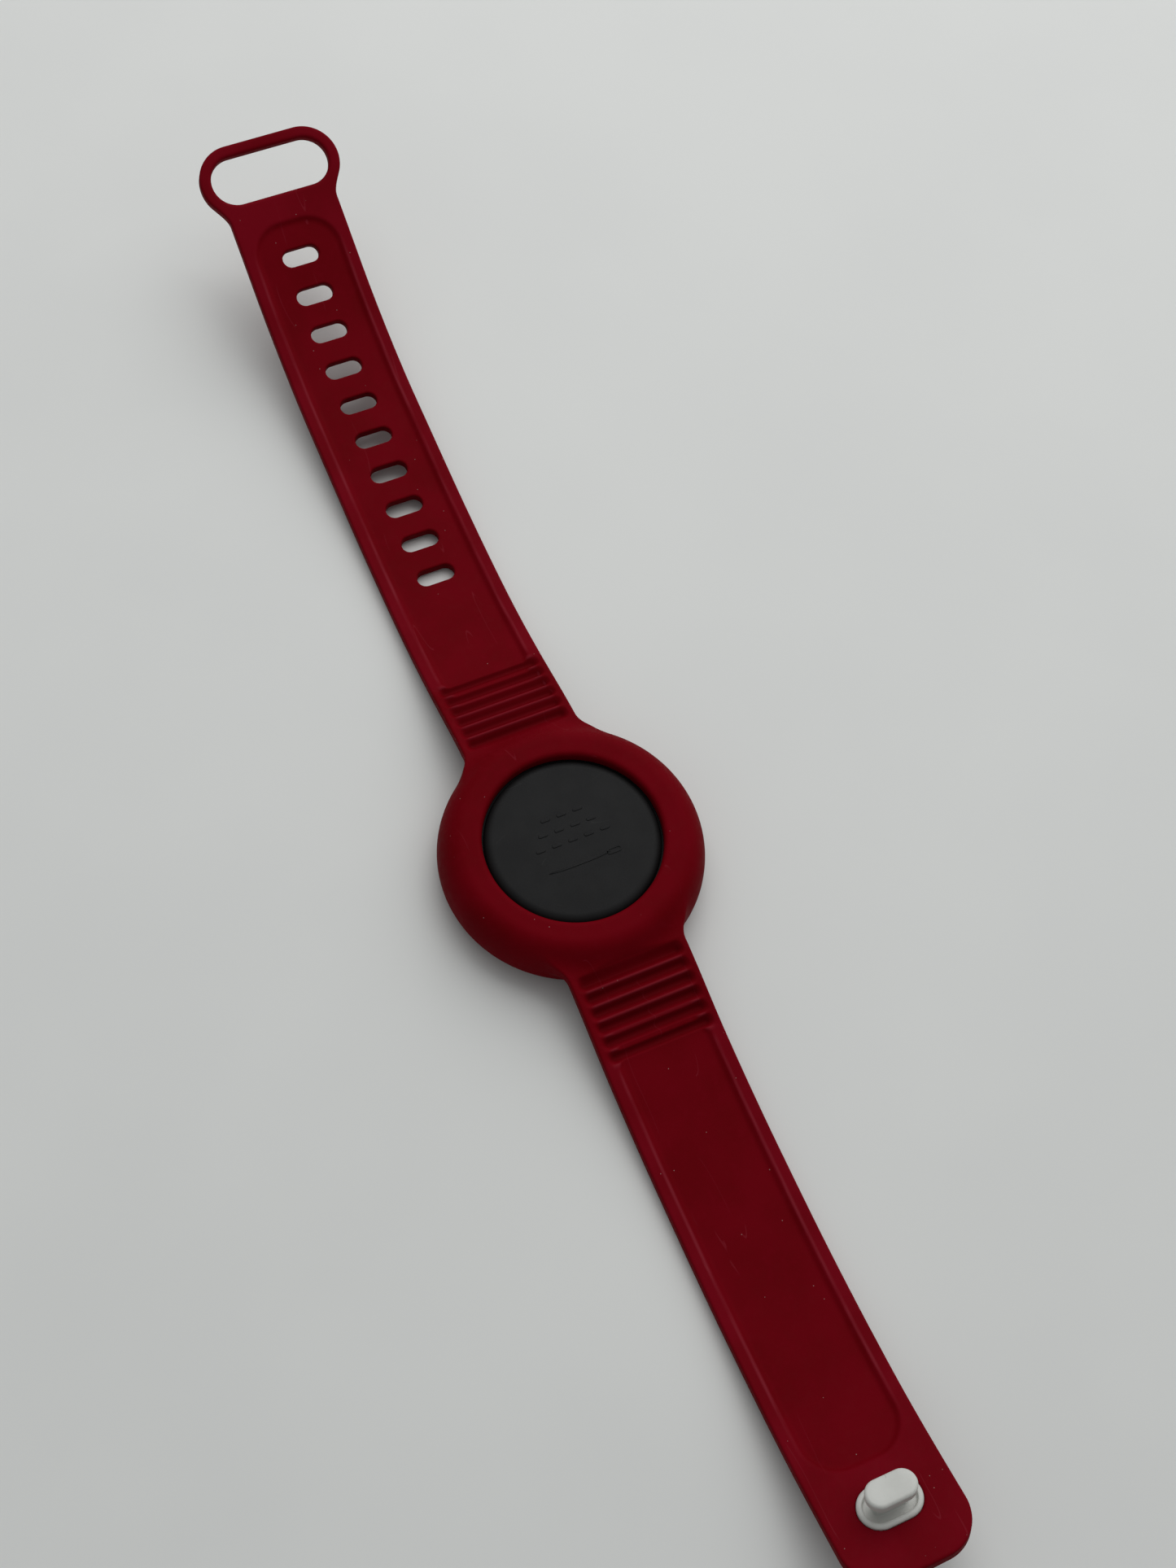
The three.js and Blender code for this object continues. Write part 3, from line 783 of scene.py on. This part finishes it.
def node(tree, kind, inputs, **settings):
    """Adds a shader node. An input is a number, a colour or another node's output."""
    made = tree.nodes.new("ShaderNode" + kind)
    for name, value in settings.items():
        setattr(made, name, value)
    for key, value in inputs.items():
        if isinstance(value, bpy.types.NodeSocket):
            tree.links.new(value, made.inputs[key])
        else:
            made.inputs[key].default_value = value
    return made


def calc(tree, operation, *values):
    return node(tree, "Math", dict(enumerate(values)), operation=operation).outputs[0]


def ramp(tree, value, low, high, to_low=0.0, to_high=1.0):
    """A smooth step of a value between two limits."""
    inputs = {"Value": value, "From Min": low, "From Max": high, "To Min": to_low, "To Max": to_high}
    return node(tree, "MapRange", inputs, interpolation_type="SMOOTHSTEP").outputs[0]


def stretched(tree, place, factors):
    return node(tree, "VectorMath", {0: place, 1: factors}, operation="MULTIPLY").outputs[0]


def noise(tree, place, scale, detail=2.0):
    return node(tree, "TexNoise", {"Vector": place, "Scale": scale, "Detail": detail}).outputs["Fac"]


def blend_colours(tree, factor, first, second):
    made = node(tree, "Mix", {}, data_type="RGBA")
    for socket, value in zip((made.inputs[0], made.inputs[6], made.inputs[7]), (factor, first, second)):
        if isinstance(value, bpy.types.NodeSocket):
            tree.links.new(value, socket)
        else:
            socket.default_value = value
    return made.outputs[2]


def specks(tree, place, scale, size, share):
    """Small round dots, in this share of the cells of a scattered pattern."""
    cells = node(tree, "TexVoronoi", {"Vector": place, "Scale": scale})
    dots = ramp(tree, cells.outputs["Distance"], size, size * 0.6)
    pick = node(tree, "SeparateColor", {"Color": cells.outputs["Color"]}).outputs["Red"]
    return calc(tree, "MULTIPLY", dots, ramp(tree, pick, 1 - share, 1 - share + 0.02))


def hairlines(tree, place, scale, width, share):
    """Fine lines along the level curves of a noise, in patches."""
    level = calc(tree, "ABSOLUTE", calc(tree, "SUBTRACT", noise(tree, place, scale, 1.0), 0.5))
    patches = ramp(tree, noise(tree, place, scale * 1.7, 0.0), 1 - share, 1.04 - share)
    return calc(tree, "MULTIPLY", ramp(tree, level, width, width * 0.3), patches)


def new_material(name, **uniform):
    """A material whose same-all-over values are set on the shader itself."""
    material = bpy.data.materials.new(name)
    material.use_nodes = True
    tree = material.node_tree
    shader = tree.nodes["Principled BSDF"]
    for key, value in uniform.items():
        shader.inputs[key.replace("_", " ")].default_value = value
    return material, tree, shader


def set_bump(tree, shader, height, depth_mm):
    inputs = {"Height": height, "Distance": depth_mm * MM, "Strength": 1.0}
    tree.links.new(node(tree, "Bump", inputs).outputs["Normal"], shader.inputs["Normal"])


def object_place(tree):
    """Places on a piece, in millimetres."""
    return stretched(tree, node(tree, "TexCoord", {}).outputs["Object"], (1 / MM, 1 / MM, 1 / MM))


RED_DEEP = (0.130, 0.0005, 0.0034, 1)
RED_FULL = (0.148, 0.0006, 0.0046, 1)
RED_DULL = (0.154, 0.0020, 0.0070, 1)
# a lighter red painted on the rails' tops, as painted light
RED_LIT_RAIL = (0.182, 0.0028, 0.0100, 1)
# a paler red for scratches and rub wear, also painted as a highlight on rail edges and rib crests
RED_WEAR_AND_HIGHLIGHT = (0.230, 0.0220, 0.0340, 1)
# a darker red painted into the troughs between the ribs, as painted shade
RED_SHADE = (0.080, 0.0002, 0.0016, 1)
DUST = (0.42, 0.29, 0.27, 1)


def make_silicone():
    """Matt red silicone with fine scratches and dust. Its rail tops are painted lighter, its rib crests carry
    a painted highlight, the pale line along the rails' inner edges is partly rub wear and partly a painted
    highlight, and the troughs between the ribs carry painted shade.
    """
    material, tree, shader = new_material("silicone", Specular_IOR_Level=0.02)
    place = node(tree, "Attribute", {}, attribute_name="band_place").outputs["Vector"]
    parts = node(tree, "SeparateXYZ", {0: place}).outputs
    along = calc(tree, "ABSOLUTE", parts["X"])
    broad = noise(tree, place, 0.09, 3.0)
    medium = noise(tree, place, 0.8, 3.0)
    colour = blend_colours(tree, ramp(tree, broad, 0.35, 0.65), RED_DEEP, RED_FULL)
    colour = blend_colours(tree, ramp(tree, medium, 0.45, 0.8, 0.0, 0.45), colour, RED_DULL)

    side = node(tree, "Attribute", {}, attribute_name="channel_side").outputs["Fac"]
    # Painted light: the rails' tops are painted a lighter red than the sunken channel, in patches.
    on_rail = calc(tree, "MULTIPLY", ramp(tree, side, -0.1, 0.7), ramp(tree, parts["Z"], 0.6, 1.0))
    painted_rail_light = calc(tree, "MULTIPLY", on_rail, ramp(tree, along, 33.0, 35.0))
    painted_rail_light = calc(tree, "MULTIPLY", painted_rail_light, ramp(tree, broad, 0.3, 0.7, 0.25, 0.6))
    colour = blend_colours(tree, painted_rail_light, colour, RED_LIT_RAIL)

    # A pale line along the rails' inner edges, in patches: partly rub wear, partly a painted highlight.
    rail_edge = calc(tree, "ABSOLUTE", calc(tree, "SUBTRACT", side, 0.55))
    worn_and_highlit_edge = calc(tree, "MULTIPLY", ramp(tree, rail_edge, 0.42, 0.02), ramp(tree, parts["Z"], 0.8, 1.05))
    worn_and_highlit_edge = calc(tree, "MULTIPLY", worn_and_highlit_edge, ramp(tree, along, 35.0, 37.0))
    worn_and_highlit_edge = calc(tree, "MULTIPLY", worn_and_highlit_edge, ramp(tree, parts["X"], STUD_CHANNEL_END - 2, STUD_CHANNEL_END - 12))
    worn_and_highlit_edge = calc(tree, "MULTIPLY", worn_and_highlit_edge, ramp(tree, parts["X"], 2 - HOLE_CHANNEL_END, 12 - HOLE_CHANNEL_END))
    patchy = ramp(tree, noise(tree, stretched(tree, place, (0.12, 1.0, 1.0)), 1.2, 3.0), 0.30, 0.70, 0.1, 0.6)
    colour = blend_colours(tree, calc(tree, "MULTIPLY", worn_and_highlit_edge, patchy), colour, RED_WEAR_AND_HIGHLIGHT)

    in_ribs = calc(tree, "MULTIPLY", ramp(tree, along, 21.0, 22.0), ramp(tree, along, 35.5, 34.5))
    # Painted highlight: the crests of the ribs are painted lighter.
    crest_highlight = calc(tree, "MULTIPLY", ramp(tree, parts["Z"], 0.72, 1.05, 0.0, 0.4), ramp(tree, side, 1.6, 0.6))
    colour = blend_colours(tree, calc(tree, "MULTIPLY", in_ribs, crest_highlight), colour, RED_WEAR_AND_HIGHLIGHT)
    # Painted shade: the troughs between the ribs are painted a darker red.
    below_crest = ramp(tree, parts["Z"], 0.75, 0.25, 0.0, 0.5)
    trough = calc(tree, "MULTIPLY", below_crest, ramp(tree, parts["Z"], -0.3, 0.0))
    colour = blend_colours(tree, calc(tree, "MULTIPLY", in_ribs, trough), colour, RED_SHADE)

    scratches = hairlines(tree, stretched(tree, place, (0.2, 1.6, 1.0)), 0.16, 0.006, 0.36)
    colour = blend_colours(tree, calc(tree, "MULTIPLY", scratches, 0.3), colour, RED_WEAR_AND_HIGHLIGHT)
    dots = specks(tree, place, 0.55, 0.05, 0.35)
    colour = blend_colours(tree, calc(tree, "MULTIPLY", dots, 0.6), colour, DUST)
    tree.links.new(colour, shader.inputs["Base Color"])
    tree.links.new(ramp(tree, medium, 0.3, 0.7, 0.52, 0.66), shader.inputs["Roughness"])
    grain = calc(tree, "ADD", noise(tree, place, 6.0, 2.0), calc(tree, "MULTIPLY", medium, 0.8))
    set_bump(tree, shader, calc(tree, "ADD", grain, dots), 0.012)
    return material


def make_plastic(name, dark, light, roughness, mark, mark_share, grain_depth, specular):
    """Moulded plastic: a slight mottle, a fine grain, and a few marks and specks of dust."""
    material, tree, shader = new_material(name, Specular_IOR_Level=specular)
    place = object_place(tree)
    broad = noise(tree, place, 0.25, 3.0)
    fine = noise(tree, place, 5.0, 2.0)
    colour = blend_colours(tree, ramp(tree, broad, 0.3, 0.7), dark, light)
    marks = hairlines(tree, stretched(tree, place, (1.0, 0.5, 1.0)), 0.22, 0.004, mark_share)
    dots = specks(tree, place, 0.7, 0.05, mark_share)
    marked = calc(tree, "MULTIPLY", calc(tree, "MAXIMUM", marks, dots), 0.5)
    colour = blend_colours(tree, marked, colour, mark)
    tree.links.new(colour, shader.inputs["Base Color"])
    low, high = roughness
    tree.links.new(ramp(tree, fine, 0.3, 0.7, low, high), shader.inputs["Roughness"])
    set_bump(tree, shader, fine, grain_depth)
    return material


def make_ferrite():
    """Dark sintered ferrite, finely grained."""
    material, tree, shader = new_material("ferrite", Specular_IOR_Level=0.3)
    place = object_place(tree)
    grains = noise(tree, place, 3.0, 4.0)
    dark, light = (0.030, 0.031, 0.034, 1), (0.06, 0.06, 0.062, 1)
    colour = blend_colours(tree, ramp(tree, grains, 0.35, 0.65), dark, light)
    tree.links.new(colour, shader.inputs["Base Color"])
    tree.links.new(ramp(tree, grains, 0.3, 0.7, 0.6, 0.8), shader.inputs["Roughness"])
    set_bump(tree, shader, grains, 0.03)
    return material


def make_steel():
    """Sheet steel with the fine lines of its rolling."""
    material, tree, shader = new_material("steel", Metallic=1.0)
    place = object_place(tree)
    rolled = noise(tree, stretched(tree, place, (0.2, 6.0, 1.0)), 1.0, 3.0)
    colour = blend_colours(tree, ramp(tree, rolled, 0.3, 0.7), (0.36, 0.37, 0.38, 1), (0.5, 0.5, 0.5, 1))
    tree.links.new(colour, shader.inputs["Base Color"])
    tree.links.new(ramp(tree, rolled, 0.3, 0.7, 0.28, 0.42), shader.inputs["Roughness"])
    set_bump(tree, shader, rolled, 0.004)
    return material


def make_floor_paint():
    """A plain pale tabletop."""
    material, tree, shader = new_material("floor_paint", Specular_IOR_Level=0.15)
    place = object_place(tree)
    broad = noise(tree, place, 0.02, 3.0)
    dark, light = (0.760, 0.768, 0.752, 1), (0.782, 0.790, 0.772, 1)
    colour = blend_colours(tree, ramp(tree, broad, 0.3, 0.7), dark, light)
    tree.links.new(colour, shader.inputs["Base Color"])
    tree.links.new(ramp(tree, broad, 0.3, 0.7, 0.55, 0.65), shader.inputs["Roughness"])
    return material


silicone = make_silicone()
black = make_plastic("black_plastic", (0.0085, 0.0085, 0.0088, 1), (0.0110, 0.0110, 0.0112, 1),
                     (0.48, 0.58), (0.035, 0.035, 0.034, 1), 0.3, 0.006, 0.12)
white = make_plastic("white_plastic", (0.56, 0.565, 0.53, 1), (0.62, 0.625, 0.59, 1),
                     (0.34, 0.44), (0.35, 0.34, 0.31, 1), 0.2, 0.004, 0.4)
ferrite = make_ferrite()
steel = make_steel()

make_ring(silicone)
make_strap(STUD_JOINTS, STUD_HINGES, PAD_END_S + 0.6, 1, silicone, stud_step, stud_y_lines)
make_strap(HOLE_JOINTS, HOLE_HINGES, LOOP_S + LOOP_OPENING_RADIUS + LOOP_RIM + 0.6, -1, silicone,
           hole_step, hole_y_lines)
make_pin_holder(black, ferrite, steel)
make_stud(white)

# ---------- floor, lights and camera ----------

FLOOR_HALF_SIDE = 3                # metres
FLOOR_DROP = 0.00005               # metres, so that nothing is coplanar with the floor
floor_mesh = bpy.data.meshes.new("floor")
reach = FLOOR_HALF_SIDE
floor_mesh.from_pydata([(-reach, -reach, 0), (reach, -reach, 0), (reach, reach, 0), (-reach, reach, 0)],
                       [], [(0, 1, 2, 3)])
floor = add_object("floor", floor_mesh)
floor.location.z = -FLOOR_DROP
floor_mesh.materials.append(make_floor_paint())


def area_light(name, place, size, power):
    """A square lamp aimed at the ring. Its place and size are in metres, its power in watts."""
    light = bpy.data.lights.new(name, "AREA")
    light.size = size
    light.energy = power
    lamp = add_object(name, light)
    lamp.location = place
    lamp.rotation_euler = (-Vector(place)).to_track_quat("-Z", "Y").to_euler()


area_light("key_light", (-0.45, 0.60, 0.75), 1.3, 6.5)
area_light("end_light", (-0.36, 0.12, 0.56), 0.7, 1.3)

world = bpy.data.worlds.new("studio")
world.use_nodes = True
background = world.node_tree.nodes["Background"]
background.inputs["Color"].default_value = (0.9, 0.93, 0.94, 1)
background.inputs["Strength"].default_value = 0.28
bpy.context.scene.world = world
bpy.context.scene.view_settings.view_transform = "Standard"

CAMERA_PLACE = Vector((0.11676, -0.07006, 0.30162))    # metres
CAMERA_BACK = Vector((0.38080, -0.23249, 0.89495)).normalized()
CAMERA_RIGHT = Vector((0.40525, 0.91193, 0.06446)).normalized()
CAMERA_LENS = 48.01
CAMERA_SENSOR = 36
camera_data = bpy.data.cameras.new("camera")
camera_data.lens = CAMERA_LENS
camera_data.sensor_width = CAMERA_SENSOR
camera_data.clip_start = 0.01
camera = add_object("camera", camera_data)
turn = Matrix((CAMERA_RIGHT, CAMERA_BACK.cross(CAMERA_RIGHT), CAMERA_BACK)).transposed()
camera.matrix_world = Matrix.Translation(CAMERA_PLACE) @ turn.to_4x4()
bpy.context.scene.camera = camera
